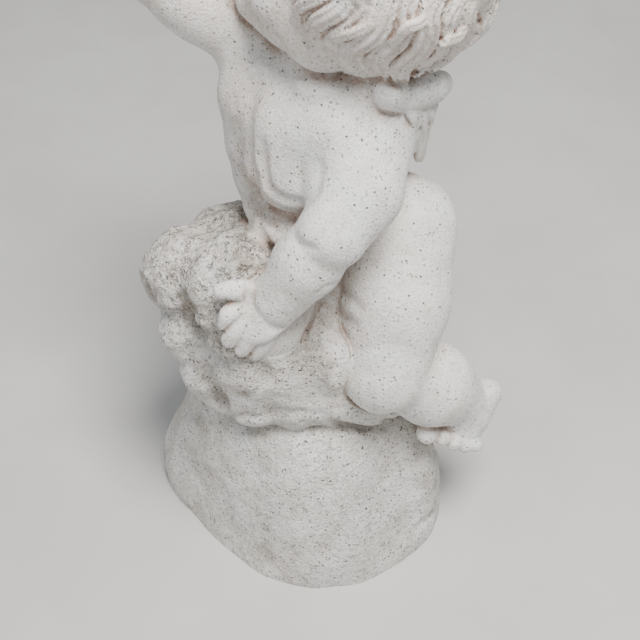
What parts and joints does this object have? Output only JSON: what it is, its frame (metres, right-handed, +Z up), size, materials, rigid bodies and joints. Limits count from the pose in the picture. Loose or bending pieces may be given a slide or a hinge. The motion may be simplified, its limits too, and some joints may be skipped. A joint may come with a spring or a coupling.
{
  "type": "cherub garden statue",
  "caption": "Cast stone garden statue of a winged cherub kneeling on a lumpy rock over a boulder base, one hand on the rock and one arm raised.",
  "frame": {"origin": "on the ground under the middle of the casting's box, at the height of its flat underside", "axes": "+Z up; the left foot is at the +X side, and the figure's chest and hips face -X and -Y, so -Y is the viewed side"},
  "size_m": [0.3809, 0.3216, 0.7925],
  "materials": {
    "cast_stone": "matte cast stone with a fine sand and grit face, pin holes and brown dirt in the hollows"
  },
  "bodies": {
    "root": {"cherub_statue": "cast_stone"}
  },
  "joints": []
}
